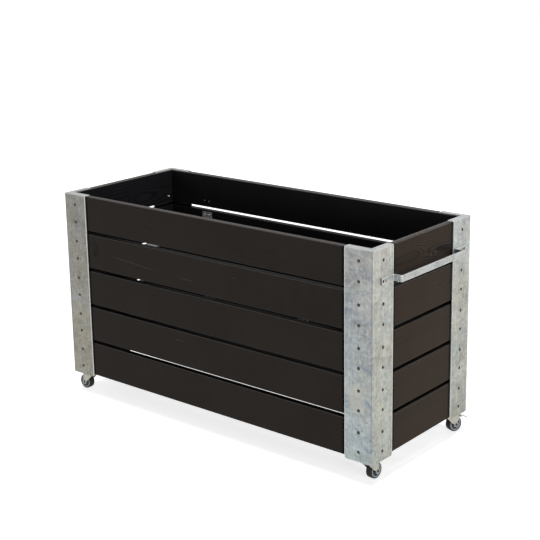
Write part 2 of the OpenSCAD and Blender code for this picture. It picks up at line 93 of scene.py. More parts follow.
# %% Nodes
def new_finish(name, **settings):
    """A material and its shader. The settings go on the shader's own sockets."""
    finish = bpy.data.materials.new(name)
    finish.use_nodes = True
    shader = finish.node_tree.nodes["Principled BSDF"]
    for socket, value in settings.items():
        shader.inputs[socket.replace("_", " ")].default_value = value
    return finish, shader


def wire(finish, source, target):
    finish.node_tree.links.new(source, target)


def add(finish, kind, inputs=None, **settings):
    """A shader node of that kind. An input is a value, or another node's output socket."""
    made = finish.node_tree.nodes.new("ShaderNode" + kind)
    for key, value in settings.items():
        setattr(made, key, value)
    for key, value in (inputs or {}).items():
        if isinstance(value, bpy.types.NodeSocket):
            wire(finish, value, made.inputs[key])
        else:
            made.inputs[key].default_value = value
    return made


def maths(finish, operation, first, *others):
    """The operation over the values, two at a time from the left."""
    result = first
    for other in others or (0.0,):
        result = add(finish, "Math", {0: result, 1: other}, operation=operation).outputs[0]
    return result


def times(finish, *values):
    return maths(finish, "MULTIPLY", *values)


def plus(finish, *values):
    return maths(finish, "ADD", *values)


def minus(finish, first, second):
    return maths(finish, "SUBTRACT", first, second)


def size_of(finish, value):
    return maths(finish, "ABSOLUTE", value)


def larger(finish, first, second):
    return maths(finish, "MAXIMUM", first, second)


def smaller(finish, first, second):
    return maths(finish, "MINIMUM", first, second)


def length_of(finish, first, second):
    """The length of a way that goes so far along and so far across."""
    return maths(finish, "SQRT", plus(finish, times(finish, first, first), times(finish, second, second)))


def weighted(finish, *pairs):
    """The sum of some values, each times its weight."""
    return plus(finish, *(times(finish, value, weight) for value, weight in pairs))


print("sums:", [step.__name__ for step in (times, plus, minus, length_of, weighted)])

# %% [markdown]
# A mark on a surface is a mask: a number that is one on the mark and zero off it. Masks come from
# where a point lies, ramped between two places, or from a noise, ramped between two of its values.
# Each mask then blends a second colour over the first, as a painter lays one glaze on another.

# %% Masks, patterns and colours
def parts_of(finish, place):
    return add(finish, "SeparateXYZ", {0: place}).outputs


def stretched(finish, place, scale=(1, 1, 1), turn=(0, 0, 0)):
    """The place for a pattern that is drawn out along the axes whose scale is small."""
    return add(finish, "Mapping", {"Vector": place, "Scale": scale, "Rotation": turn}).outputs[0]


def object_place(finish, scale=(1, 1, 1)):
    return stretched(finish, add(finish, "TexCoord").outputs["Object"], scale)


def noise(finish, place, scale, detail=4.0, rough=0.55, distortion=0.0):
    return add(finish, "TexNoise",
               {"Vector": place, "Scale": scale, "Detail": detail, "Roughness": rough,
                "Distortion": distortion}).outputs["Fac"]


def between(finish, value, low, high, to_low=0.0, to_high=1.0, smooth=False):
    """A ramp from one end value to the other as the value goes from low to high."""
    return add(finish, "MapRange",
               {"Value": value, "From Min": low, "From Max": high, "To Min": to_low, "To Max": to_high},
               interpolation_type="SMOOTHSTEP" if smooth else "LINEAR").outputs["Result"]


def below(finish, value, low, high, strength=1.0, smooth=False):
    """The strength up to low, and zero from high on."""
    return between(finish, value, low, high, strength, 0.0, smooth=smooth)


def near(finish, value, place, reach, strength=1.0):
    """The strength where the value is at the place, and zero from the reach on."""
    away = size_of(finish, minus(finish, value, place))
    return below(finish, away, 0.5 * reach, reach, strength, smooth=True)


def blend(finish, factor, first, second, how="MIX"):
    """The first colour where the factor is zero, and the second where it is one."""
    colours = {0: factor, 6: first, 7: second}
    return add(finish, "Mix", colours, data_type="RGBA", blend_type=how).outputs[2]


def tinted(finish, colour, tint):
    return blend(finish, 1.0, colour, tint, how="MULTIPLY")


def raise_surface(finish, shader, height, distance, strength):
    bump = add(finish, "Bump", {"Height": height, "Distance": distance, "Strength": strength})
    wire(finish, bump.outputs[0], shader.inputs["Normal"])


print("masks:", [step.__name__ for step in (noise, between, below, near)])

# %% [markdown]
# A planter's marks sit at its screws, edges and folds, so the finishes have to know those places.
# Nearly all of them follow from a few pieces' boxes in the frame. Only the screws and small holes,
# which no box shows, are given as numbers.

# %% Places on the planter
def measured(value):
    """A length from the frame, to a hundredth of a millimetre."""
    return round(value, 5)


front_low, front_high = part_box("front_board_1")
end_low, end_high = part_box("right_board_1")
post_low, post_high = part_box("post_front_right")
handle_low, handle_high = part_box("handle")
tie_low, tie_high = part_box("cross_tie_right")

LOWEST_ROW = measured(front_low.z)
BOARD_HEIGHT = measured(front_high.z - front_low.z)
PITCH_OF_ROWS = measured(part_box("front_board_2")[0].z - front_low.z)
TOP_ROW = 4
INNER_SIDE, OUTER_SIDE = measured(-front_high.y), measured(-front_low.y)
INNER_END, OUTER_END = measured(end_low.x), measured(end_high.x)
FOLD_X, FOLD_Y = measured(post_high.x), measured(-post_low.y)
FLANGE = measured(post_high.x - post_low.x)
POST_TOP = measured(post_high.z)
SCREW_COLUMN = 0.050
SCREW_HEIGHTS = (0.023, 0.084)
HANDLE_LEVEL = measured((handle_low.z + handle_high.z) / 2)
HANDLE_SCREW, SPARE_HOLE = 0.206, 0.218
TIE_MIDDLE = measured((tie_low.x + tie_high.x) / 2)
TIE_SCREW_ASIDE = 0.0105
print("rows", PITCH_OF_ROWS, "m apart, posts to", FOLD_X, FOLD_Y, POST_TOP)


def row_number(finish, height):
    """Zero on the lowest row of boards, and on the gap below it."""
    lifted = minus(finish, height, LOWEST_ROW - 0.006)
    return maths(finish, "FLOOR", maths(finish, "DIVIDE", lifted, PITCH_OF_ROWS))


# %% [markdown]
# Every layer of the wood's finish reads where a point lies on its board: how far along it, how far
# from its middle line, how deep in the wall, and in which row. This is worked out once. The noises
# are read at a place that shifts from row to row, so no two boards are the same.

# %% A point on its board
class OnBoard:
    """Where a point lies on its board, as sockets. The grain runs along X or along Y."""

    def __init__(self, finish, grain):
        self.x, self.y, self.z = parts_of(finish, add(finish, "TexCoord").outputs["Object"])
        self.lengthways = grain == "X"
        if self.lengthways:
            self.along, inwards, self.long_way = self.x, self.y, (0.03, 1, 1)
            self.face_in, self.face_out = INNER_SIDE, OUTER_SIDE
        else:
            self.along, inwards, self.long_way = self.y, self.x, (1, 0.03, 1)
            self.face_in, self.face_out = INNER_END, OUTER_END
        self.depth = size_of(finish, inwards)
        self.row = row_number(finish, self.z)
        centre = plus(finish, times(finish, self.row, PITCH_OF_ROWS), LOWEST_ROW + BOARD_HEIGHT / 2)
        self.across = minus(finish, self.z, centre)
        self.to_edge = minus(finish, BOARD_HEIGHT / 2, size_of(finish, self.across))
        self.top_row = between(finish, self.row, TOP_ROW - 0.6, TOP_ROW - 0.4)
        self.shifted = add(finish, "CombineXYZ",
                           {0: self.x, 1: self.y, 2: plus(finish, self.z, self.row)}).outputs[0]
        combed = stretched(finish, self.shifted, self.long_way)
        self.fibre = noise(finish, combed, 330.0, rough=0.65)
        self.cloud = noise(finish, self.shifted, 5.0)


print("boards are", measured(OUTER_SIDE - INNER_SIDE), "m thick")

# %% [markdown]
# The slats are softwood with a nearly black stain, through which growth rings show. A board is
# a flat cut through a cone of rings, so the distance to the pith draws them: near the middle line of
# the board the rings close to long flames, and near its edges they run straight. The distance is
# worked out here instead of with a wave texture, because the pith can then dip and wander. Each row
# of boards comes from another tree, so each row shifts the pattern. The top boards show it most.

# %% Growth rings
def deep_pith(finish, along):
    """How deep the pith lies, and how far below the middle line: deepest in the middle of the board."""
    return minus(finish, 0.047, times(finish, size_of(finish, along), 0.10)), 0.016


def two_flame_pith(finish, along):
    """The pith comes near the face twice, with a saddle between."""
    tongue = larger(finish, between(finish, along, -0.165, -0.080, 0.0105, 0.005),
                    between(finish, along, -0.060, 0.010, 0.005, 0.022, smooth=True))
    tip = between(finish, along, 0.010, 0.105, 0.022, 0.0125, smooth=True)
    return smaller(finish, tongue, tip), between(finish, along, 0.0, 0.15, -0.0020, 0.0130)


SLOW_CUT = {"pith": deep_pith, "stagger": 0.0, "reach": 0.42, "wander": 0.021, "heart": 0.0, "ring": 0.0085}
LENS_CUT = dict(SLOW_CUT, reach=0.30)
FLAME_CUT = {"pith": two_flame_pith, "stagger": -0.058, "reach": 0.20, "wander": 0.0014,
             "heart": 0.0150, "ring": 0.0072}


def from_pith(finish, at, cut):
    """The distance to the pith, and how far along the tree. Lower rows are cut further along it."""
    down = minus(finish, TOP_ROW, at.row)
    along = plus(finish, at.along, times(finish, down, cut["stagger"]))
    across = plus(finish, at.across, times(finish, down, 0.14 * cut["stagger"]))
    spread = add(finish, "CombineXYZ",
                 {0: times(finish, along, 1.0 / cut["reach"]), 1: times(finish, at.row, 7.3),
                  2: times(finish, across, 2.4)}).outputs[0]
    drift = between(finish, noise(finish, spread, 1.0, detail=2.0, rough=0.4), 0.3, 0.7,
                    -cut["wander"], cut["wander"])
    depth, below_middle = cut["pith"](finish, along)
    return length_of(finish, plus(finish, across, below_middle), plus(finish, drift, depth)), along


def growth_rings(finish, at, cut):
    """The dark late wood, zero to one: rings outside the heart, and the heart filled and outlined."""
    radius, along = from_pith(finish, at, cut)
    rings = maths(finish, "DIVIDE", minus(finish, radius, cut["heart"]), cut["ring"])
    step = maths(finish, "FRACT", rings)
    late = times(finish, between(finish, step, 0.45, 0.84, smooth=True), below(finish, step, 0.88, 1.0))
    in_heart = below(finish, radius, cut["heart"] - 0.0005, cut["heart"] + 0.0005)
    filled = times(finish, in_heart, between(finish, along, 0.0, 0.06, 0.55, 1.35))
    from_heart = size_of(finish, minus(finish, radius, cut["heart"] - 0.0006))
    outline = below(finish, from_heart, 0.0006, 0.0022, 1.3)
    outside = times(finish, late, minus(finish, 1.0, in_heart))
    return larger(finish, larger(finish, filled, outline), outside)


print("rings", SLOW_CUT["ring"], "and", FLAME_CUT["ring"], "m apart")

# %% [markdown]
# The stain itself is even and matt. Thin bright scratches, small dark knots and a slow cloud are what
# keep it from looking like paint. The inner sides are tinted darker and bluer, a painted shade for the
# inside of the box. On the long edges, where the brush carried less stain and hands and soil rub, the
# wood is a little paler, which is also a painted highlight; across the top face of the top row the
# paler colour is a painted highlight of the light from above.

# %% Layers of the stain
STAIN_RING = (0.0060, 0.0054, 0.0052, 1)
STAIN_KNOT = (0.0085, 0.0080, 0.0082, 1)
STAIN_SCRATCH = (0.120, 0.110, 0.100, 1)
WORN_EDGE_AND_HIGHLIGHT = (0.108, 0.101, 0.094, 1)
INNER_SHADE_TINT = (0.52, 0.56, 0.70, 1)


def even_stain(finish, at, colour):
    """The stain, clouded and streaked, and a little darker towards one end or the foot of the wall."""
    upright = noise(finish, stretched(finish, at.shifted, (1, 1, 0.15)), 26.0, detail=2.0)
    tone = between(finish, weighted(finish, (at.fibre, 0.35), (at.cloud, 0.9), (upright, 0.25)), 0.55, 0.95)
    if at.lengthways:
        fade = between(finish, at.x, -0.55, 0.25, -0.60, -0.20)
    else:
        from_middle = size_of(finish, minus(finish, at.y, 0.03))
        fade = plus(finish, between(finish, at.z, 0.08, 0.36, -0.42, 0.0),
                    between(finish, from_middle, 0.06, 0.17, 0.05, -0.20))
    dark, pale = ([share * c for c in colour] + [1] for share in (0.86, 1.12))
    return blend(finish, plus(finish, tone, fade), dark, pale)


# painted shade: the inner faces of the walls are tinted darker and bluer
def inner_shade(finish, at, stain):
    inner = below(finish, at.depth, at.face_in + 0.0001, at.face_in + 0.0008)
    return blend(finish, inner, stain, tinted(finish, stain, INNER_SHADE_TINT))


def knots(finish, at, stain):
    """One in a while, an upright dark drop."""
    cells = add(finish, "TexVoronoi",
                {"Vector": stretched(finish, at.shifted, (1, 1, 0.62)), "Scale": 4.6})
    wobble = times(finish, noise(finish, at.shifted, 60.0, detail=2.0), 0.05)
    away = plus(finish, cells.outputs["Distance"], wobble)
    return blend(finish, below(finish, away, 0.045, 0.085, 0.6, smooth=True), stain, STAIN_KNOT)


def scratches(finish, at, stain):
    """Thin pale hairs that stand at a slant, in patches."""
    slant = (0.0, 0.5, 0.0) if at.lengthways else (0.5, 0.0, 0.0)
    hairs = between(finish, noise(finish, stretched(finish, at.shifted, at.long_way, slant), 150.0,
                                  detail=1.0, rough=0.3), 0.735, 0.775)
    patch = between(finish, noise(finish, at.shifted, 7.0, detail=1.0), 0.56, 0.64)
    return blend(finish, times(finish, hairs, patch, 0.35), stain, STAIN_SCRATCH)


def worn_and_highlit_edges(finish, at, stain):
    """Wear and a painted highlight on the long edges: only their outer side on the lower rows,
    and right across on the top row.
    """
    frayed = plus(finish, at.to_edge, times(finish, at.fibre, 0.0012))
    worn = below(finish, frayed, 0.0006, 0.0030, 0.75, smooth=True)
    top_face_highlight = times(finish, at.top_row,
                     between(finish, at.depth, at.face_in + 0.006, at.face_in + 0.014, 1.25, 0.40))
    outer_edge = times(finish, minus(finish, 1.0, at.top_row),
                       between(finish, at.depth, at.face_out - 0.013, at.face_out - 0.009))
    return blend(finish, times(finish, worn, larger(finish, top_face_highlight, outer_edge)), stain, WORN_EDGE_AND_HIGHLIGHT)


print("layers:", [layer.__name__ for layer in (inner_shade, knots, scratches, worn_and_highlit_edges)])

# %% [markdown]
# The gaps between the boards are painted nearly black, a painted shade where little light gets in.
# Beside the posts the boards are painted nearly black too, painted shade with some dust. Over each
# end of a cross tie are two short holes for screws that were never put in, and they show raw wood.

# %% Dark places and raw holes
GAP_SHADE = (0.0022, 0.0020, 0.0019, 1)
FLANGE_SHADE_AND_DUST = (0.0030, 0.0030, 0.0030, 1)
STAIN_RAW = (0.42, 0.31, 0.19, 1)
RAW_DEPTH = 0.0063


def painted_gap_shade(finish, at, stain, pale_to):
    """Painted shade in the gaps: dark from the given depth inwards, except on top of the wall."""
    on_edge = below(finish, at.to_edge, 0.0003, 0.0012)
    deep = below(finish, at.depth, at.face_out - pale_to, at.face_out - 0.5 * pale_to)
    open_top = times(finish, at.top_row, between(finish, at.across, 0.0, 0.001))
    in_gap = times(finish, on_edge, deep, minus(finish, 1.0, open_top))
    return blend(finish, in_gap, stain, GAP_SHADE)


def dark_by_flange(finish, at, stain):
    """Painted shade, with some dust, where a board goes in behind a flange."""
    edge = (FOLD_X if at.lengthways else FOLD_Y) - FLANGE
    start, full, strength = (0.0105, 0.0090, 0.97) if at.lengthways else (0.0125, 0.0108, 0.95)
    behind = between(finish, size_of(finish, at.along), edge - start, edge - full, 0.0, strength)
    outside = between(finish, at.depth, at.face_out - 0.0034, at.face_out - 0.0026)
    return blend(finish, times(finish, behind, outside), stain, FLANGE_SHADE_AND_DUST)


def raw_holes(finish, at, stain):
    aside = minus(finish, size_of(finish, at.x), TIE_MIDDLE)
    aside = minus(finish, size_of(finish, aside), TIE_SCREW_ASIDE)
    above = minus(finish, at.z, HANDLE_LEVEL)
    in_hole = below(finish, length_of(finish, aside, above), 0.0025, 0.0031)
    bottom = INNER_SIDE + RAW_DEPTH
    raw = times(finish, in_hole, below(finish, at.depth, bottom - 0.0004, bottom))
    return blend(finish, raw, stain, STAIN_RAW)


print("raw holes at", TIE_MIDDLE, "and height", HANDLE_LEVEL)

# %% [markdown]
# A few marks are there only once: two nicks beside the flames of the handle end, and a dark knot
# smear with a long hair scratch on the front wall. No noise would put them there, so each is placed
# one by one, as the product of two ramps, one along the board and one up it.

# %% Marks of use
NICKS = (0.040, 0.066)
NICK_HEIGHT = 0.639
SMEAR = (-0.499, 0.5355)
HAIR_FROM, HAIR_TO = (-0.424, 0.525), (-0.214, 0.509)


def end_wall_marks(finish, at, stain):
    """Two small nicks beside the flames of the top board."""
    outer = between(finish, at.x, OUTER_END - 0.002, OUTER_END - 0.001)
    for nick in NICKS:
        pale = times(finish, near(finish, at.y, nick, 0.0028, 0.45),
                     near(finish, at.z, NICK_HEIGHT, 0.0070), outer)
        stain = blend(finish, pale, stain, STAIN_SCRATCH)
    return stain


def long_wall_marks(finish, at, stain):
    """A dark knot smear and one long hair scratch, near the left end of the front wall's fourth board."""
    outer = below(finish, at.y, -OUTER_SIDE + 0.001, -OUTER_SIDE + 0.002)
    frayed = between(finish, noise(finish, object_place(finish, (1, 1, 0.3)), 120.0, detail=3.0, rough=0.7),
                     0.35, 0.62)
    smear = times(finish, near(finish, at.x, SMEAR[0], 0.018), near(finish, at.z, SMEAR[1], 0.032),
                  outer, frayed, 0.75)
    stain = blend(finish, smear, stain, STAIN_RING)
    fall = (HAIR_TO[1] - HAIR_FROM[1]) / (HAIR_TO[0] - HAIR_FROM[0])
    level = minus(finish, at.z, times(finish, at.x, fall))
    middle, half = (HAIR_FROM[0] + HAIR_TO[0]) / 2, (HAIR_TO[0] - HAIR_FROM[0]) / 2
    hair = times(finish, near(finish, level, HAIR_FROM[1] - fall * HAIR_FROM[0], 0.0016, 0.32),
                 near(finish, at.x, middle, half + 0.01), outer)
    return blend(finish, hair, stain, STAIN_SCRATCH)


print("nicks at", NICKS, "and height", NICK_HEIGHT)

# %% [markdown]
# Now the layers go on one after the other: stain, rings, wear with painted highlights, and painted
# shade with some dust. The long walls were cut from slow trees with even rings, and the handle end
# shows bold flames, so each kind of wall has its own cut of the tree and its own mix of the stain.

# %% Stained boards
LONG_STAIN = (0.0262, 0.0216, 0.0188)
LEFT_STAIN = (0.0250, 0.0215, 0.0195)
RIGHT_STAIN = (0.0338, 0.0230, 0.0156)


def stained_boards(name, grain, colour, cut, top_show, low_show=0.10, pale_to=0.0034, marks=None):
    """Boards whose rings show by top_show in the top row, and by low_show in the others."""
    finish, shader = new_finish(name, Specular_IOR_Level=0.04)
    at = OnBoard(finish, grain)
    show = between(finish, at.top_row, 0.0, 1.0, low_show, top_show)
    rings = times(finish, growth_rings(finish, at, cut), show)
    stain = blend(finish, times(finish, rings, 0.62), even_stain(finish, at, colour), STAIN_RING)
    for layer in (inner_shade, knots, scratches, worn_and_highlit_edges):
        stain = layer(finish, at, stain)
    stain = dark_by_flange(finish, at, painted_gap_shade(finish, at, stain, pale_to))
    if marks:
        stain = marks(finish, at, stain)
    if at.lengthways:
        stain = raw_holes(finish, at, stain)
    wire(finish, stain, shader.inputs["Base Color"])
    gloss = weighted(finish, (at.fibre, 0.16), (at.cloud, 0.12))
    wire(finish, between(finish, gloss, 0.08, 0.22, 0.40, 0.54), shader.inputs["Roughness"])
    raise_surface(finish, shader, weighted(finish, (rings, 0.5), (at.fibre, 0.5)), 0.0004, 0.35)
    return finish


long_boards = stained_boards("stained_boards_lengthways", "X", LONG_STAIN, SLOW_CUT, top_show=0.16,
                             marks=long_wall_marks)
left_boards = stained_boards("stained_boards_left_end", "Y", LEFT_STAIN, LENS_CUT, top_show=1.0,
                             pale_to=0.0012)
right_boards = stained_boards("stained_boards_right_end", "Y", RIGHT_STAIN, FLAME_CUT, top_show=1.0,
                              low_show=0.42, pale_to=0.0085, marks=end_wall_marks)
print("boards stained:", long_boards.name, left_boards.name, right_boards.name)

# %% [markdown]
# The posts are folded from sheet and then dipped in zinc. A fresh dip shows spangle, the crystals of
# the zinc, as pale and dark flakes of about a centimetre. Over the years it dulls to a soft grey,
# part bluish and part warm, with cloudy bloom and thin upright runs. Voronoi cells with random tones
# make the flakes, and stretched noises make the runs and the brushed look between them.

# %% Galvanised steel
ZINC_SMEAR = (0.27, 0.305, 0.350, 1)
ON_FOLD = (FOLD_X - 0.0020, FOLD_X - 0.0004)


def vector_maths(finish, operation, *values):
    return add(finish, "VectorMath", dict(enumerate(values)), operation=operation).outputs


def flake_tone(finish, place, spangle):
    """A random tone for each crystal of the zinc. The crystals have crinkled edges."""
    cloud = add(finish, "TexNoise", {"Vector": place, "Scale": 70.0, "Detail": 2.0})
    crinkle = vector_maths(finish, "SUBTRACT", cloud.outputs["Color"], (0.5, 0.5, 0.5))[0]
    bent = vector_maths(finish, "MULTIPLY_ADD", crinkle, (0.012, 0.012, 0.012), place)[0]
    cells = add(finish, "TexVoronoi", {"Vector": bent, "Scale": 1 / spangle})
    return parts_of(finish, cells.outputs["Color"])[0]


def slanting_smears(finish, place, strength, end_strength):
    """Bluish smears where the dip ran off. They can be fainter on the end faces of the posts."""
    slant = stretched(finish, place, (0.22, 0.9, 1.0), (0.55, 0.75, 0.0))
    streaks = noise(finish, slant, 26.0, rough=0.6, distortion=0.8)
    smear = between(finish, streaks, 0.50, 0.68, 0.0, strength)
    if end_strength is None:
        return smear
    to_the_end = size_of(finish, parts_of(finish, place)[0])
    return times(finish, smear, between(finish, to_the_end, *ON_FOLD, 1.0, end_strength / strength))


def galvanised(name, warm, cool, spangle, roughness, run_way, smears, end_smears=None):
    """Weathered zinc in two tints, and the shader that it goes to."""
    finish, shader = new_finish(name, Metallic=0.3)
    place = object_place(finish)
    drawn = object_place(finish, run_way)
    bloom = noise(finish, place, 7.5, detail=6.0, rough=0.62, distortion=0.6)
    runs = noise(finish, drawn, 60.0, detail=3.0, rough=0.6)
    hair_runs = noise(finish, drawn, 210.0, detail=3.0, rough=0.6)
    speck = noise(finish, place, 260.0, detail=3.0, rough=0.7)
    flake = flake_tone(finish, place, spangle)
    tint = between(finish, noise(finish, place, 3.4, detail=3.0, distortion=0.4), 0.40, 0.60, smooth=True)
    base = blend(finish, tint, warm, cool)
    base = blend(finish, slanting_smears(finish, place, smears, end_smears), base, ZINC_SMEAR)
    tone = weighted(finish, (flake, 0.15), (bloom, 0.36), (runs, 0.19), (hair_runs, 0.28), (speck, 0.20))
    shade = between(finish, tone, 0.43, 0.78, 0.60, 1.30)
    shaded = add(finish, "VectorMath", {0: base, "Scale": shade}, operation="SCALE").outputs[0]
    dull, bright = roughness + 0.10, roughness - 0.08
    wire(finish, between(finish, tone, 0.4, 0.8, dull, bright), shader.inputs["Roughness"])
    raise_surface(finish, shader, plus(finish, bloom, times(finish, speck, 0.2)), 0.0010, 0.12)
    return finish, shader, shaded


def glazed(finish, shader, colour, *glazes):
    """Lay each glaze, a mask and a colour, over the last, and give the result to the shader."""
    for mask, glaze in glazes:
        colour = blend(finish, mask, colour, glaze)
    wire(finish, colour, shader.inputs["Base Color"])
    return finish


print("post ends lie beyond", measured(ON_FOLD[0]), "m")

# %% [markdown]
# A post's cut edges and its lip get a painted highlight, a line of painted shade runs beside the
# fold, and rust-brown grime sits round every screw. The side that lies on the boards is painted
# nearly black as painted shade, so is the place behind the handle's spare hole, and one place low on
# the front right post was wiped clean. These places are known, so each mask is worked out from the
# distance to an edge, a fold or a screw.

# %% Posts
CUT_EDGE_HIGHLIGHT = (0.88, 0.90, 0.89, 1)
LIP_HIGHLIGHT = (0.62, 0.64, 0.63, 1)
FOLD_SHADE = (0.20, 0.215, 0.235, 1)
SCREW_GRIME = (0.12, 0.090, 0.064, 1)
HOLE_SHADE = (0.008, 0.008, 0.009, 1)
WIPED_ZINC = (0.53, 0.52, 0.455, 1)
WIPED_X, WIPED_Z = 0.582, 0.262
LONG_SIDE_TOP = (0.88, 0.88, 0.90, 1)
SHORT_SIDE_FOOT, SHORT_SIDE_TOP = (0.91, 0.90, 0.80, 1), (1.05, 1.04, 0.99, 1)


def from_board_screws(finish, out_x, out_y, z):
    """The distance, along the flange's face, to the nearest board screw."""
    on_row = minus(finish, z, LOWEST_ROW)
    on_row = minus(finish, on_row, times(finish, row_number(finish, z), PITCH_OF_ROWS))
    by_column = [size_of(finish, minus(finish, out, fold - SCREW_COLUMN))
                 for out, fold in ((out_x, FOLD_X), (out_y, FOLD_Y))]
    by_height = [size_of(finish, minus(finish, on_row, height)) for height in SCREW_HEIGHTS]
    return length_of(finish, smaller(finish, *by_column), smaller(finish, *by_height))


# painted shade: black within the reach of a spare hole, for the dark seen through it
def spare_hole_shade(finish, out_y, z, reach):
    away = length_of(finish, minus(finish, out_y, SPARE_HOLE), minus(finish, z, HANDLE_LEVEL))
    return below(finish, away, reach, reach + 0.0003)


def post_tint(finish, out_x, z, long_side_foot):
    """The long side and the end side of a post get different tints, each changing from the foot to the top.
    """
    height = between(finish, z, 0.10, 0.70)
    long_side = blend(finish, height, long_side_foot, LONG_SIDE_TOP)
    short_side = blend(finish, height, SHORT_SIDE_FOOT, SHORT_SIDE_TOP)
    return blend(finish, between(finish, out_x, *ON_FOLD), long_side, short_side)


def aged_posts(name, warm, cool, long_side_foot, smears):
    finish, shader, zinc = galvanised(name, warm, cool, 0.009, 0.50, (1, 1, 0.08), smears, end_smears=0.35)
    x, y, z = parts_of(finish, object_place(finish))
    out_x, out_y = size_of(finish, x), size_of(finish, y)
    above = times(finish, minus(finish, z, WIPED_Z), 0.72)
    from_wiped = length_of(finish, minus(finish, x, WIPED_X), above)
    wiped = times(finish, below(finish, from_wiped, 0.020, 0.038, 0.66, smooth=True),
                  below(finish, y, -0.250, -0.240))
    # painted shade: the inner side that lies on the boards is nearly black
    shaded_wall_side = times(finish, below(finish, out_x, FOLD_X - 0.0022, FOLD_X - 0.0018),
                      below(finish, out_y, FOLD_Y - 0.0022, FOLD_Y - 0.0018),
                      below(finish, z, 0.700, 0.706, 0.96))
    # painted highlights on the cut edges and along the lip
    cut_edge_highlight = larger(finish, near(finish, out_x, FOLD_X - FLANGE, 0.0022, 0.8),
                      near(finish, out_y, FOLD_Y - FLANGE, 0.0022, 0.8))
    lip_highlight = near(finish, z, POST_TOP - 0.0013, 0.0022, 0.6)
    # painted shade: a dark line beside the fold
    fold_shade = times(finish, near(finish, out_x, FOLD_X - 0.0042, 0.0032, 0.42),
                        between(finish, out_y, FOLD_Y - 0.002, FOLD_Y - 0.001))
    grime = below(finish, from_board_screws(finish, out_x, out_y, z), 0.0044, 0.0064, 0.80, smooth=True)
    zinc = tinted(finish, zinc, post_tint(finish, out_x, z, long_side_foot))
    return glazed(finish, shader, zinc, (wiped, WIPED_ZINC), (shaded_wall_side, GAP_SHADE), (cut_edge_highlight, CUT_EDGE_HIGHLIGHT),
                  (lip_highlight, LIP_HIGHLIGHT), (fold_shade, FOLD_SHADE), (grime, SCREW_GRIME),
                  (spare_hole_shade(finish, out_y, z, 0.0027), HOLE_SHADE))


right_post_zinc = aged_posts("galvanised_right_posts", (0.450, 0.452, 0.425, 1), (0.440, 0.462, 0.462, 1),
                             long_side_foot=(1.07, 1.15, 1.16, 1), smears=0.95)
left_post_zinc = aged_posts("galvanised_left_posts", (0.318, 0.302, 0.250, 1), (0.308, 0.300, 0.262, 1),
                            long_side_foot=(0.98, 0.96, 0.92, 1), smears=0.45)
print("post finishes:", right_post_zinc.name, left_post_zinc.name)

# %% [markdown]
# The straps inside and the handle are flat bar, which takes a smoother coat of zinc with the runs
# along the bar. On the handle the long edges get a painted highlight and the sawn ends are dark. Its
# legs get painted bluish streaks of reflection, and the rear one, where hardly any light falls, is
# painted nearly black as painted shade. Round the spare holes the bar is painted black, a painted shade.

# %% Ties and handle
BAR = 0.004
FOOT_END = measured(handle_high.y)
BAR_EDGE_HIGHLIGHT = (0.60, 0.61, 0.59, 1)
LEG_STREAK_REFLECTION, REAR_LEG_SHADE = (0.22, 0.26, 0.31, 1), (0.045, 0.065, 0.095, 1)
SAWN_END = (0.035, 0.042, 0.052, 1)


def bar_zinc(name, warm, cool):
    return galvanised(name, warm, cool, 0.007, 0.38, (1, 0.10, 1), smears=0.25)


def handle_bar_finish(name, warm, cool):
    finish, shader, zinc = bar_zinc(name, warm, cool)
    x, y, z = parts_of(finish, object_place(finish))
    out_y = size_of(finish, y)
    # painted highlights along the bar's long edges
    edge = larger(finish, *(near(finish, z, side, 0.0024, 0.7) for side in (handle_low.z, handle_high.z)))
    streak = noise(finish, object_place(finish, (1, 1, 0.15)), 300.0, detail=3.0, rough=0.7)
    foot_face, bar_back = measured(handle_low.x) + BAR, measured(handle_high.x) - BAR
    on_leg = times(finish, between(finish, x, foot_face + 0.0005, foot_face + 0.0025),
                   below(finish, x, bar_back - 0.0025, bar_back))
    # painted reflection: bluish streaks on the legs
    leg = times(finish, on_leg, between(finish, streak, 0.42, 0.60, 0.0, 0.55))
    # painted shade: the rear leg is nearly black
    rear_leg_shade = times(finish, on_leg, between(finish, y, 0.0, 0.01),
                     between(finish, streak, 0.36, 0.56, 0.45, 0.95))
    sawn = between(finish, out_y, FOOT_END - 0.0008, FOOT_END - 0.0003, 0.0, 0.94)
    return glazed(finish, shader, zinc, (edge, BAR_EDGE_HIGHLIGHT), (leg, LEG_STREAK_REFLECTION), (rear_leg_shade, REAR_LEG_SHADE),
                  (sawn, SAWN_END), (spare_hole_shade(finish, out_y, z, 0.0042), HOLE_SHADE))


tie_zinc = glazed(*bar_zinc("galvanised_ties", (0.42, 0.435, 0.45, 1), (0.37, 0.40, 0.44, 1)))
handle_zinc = handle_bar_finish("galvanised_handle", (0.455, 0.460, 0.435, 1), (0.430, 0.450, 0.445, 1))
print("bar finishes:", tie_zinc.name, handle_zinc.name)

# %% [markdown]
# The small parts of the casters are zinc plated, which is smoother and warmer than a hot dip. A
# cloudy noise gives the plating its two tones, and a very fine one its grain. The screws have a
# brown-grey coating that has worn in the middle of each head and on the tips that came through.

# %% Plated steel and screws
WORN_HEAD = (0.33, 0.33, 0.33, 1)
BARE_TIP = (0.90, 0.91, 0.92, 1)


def plated(name, base, roughness, metallic, gloss=0.5):
    finish, shader = new_finish(name, Metallic=metallic, Specular_IOR_Level=gloss)
    place = object_place(finish)
    clouds = noise(finish, place, 55.0)
    grains = noise(finish, place, 900.0, detail=2.0)
    low, high = ([share * c for c in base] + [1] for share in (0.80, 1.10))
    colour = blend(finish, between(finish, clouds, 0.3, 0.7), low, high)
    dull, bright = roughness + 0.08, roughness - 0.06
    wire(finish, between(finish, clouds, 0.3, 0.7, dull, bright), shader.inputs["Roughness"])
    raise_surface(finish, shader, grains, 0.0001, 0.4)
    return finish, shader, colour


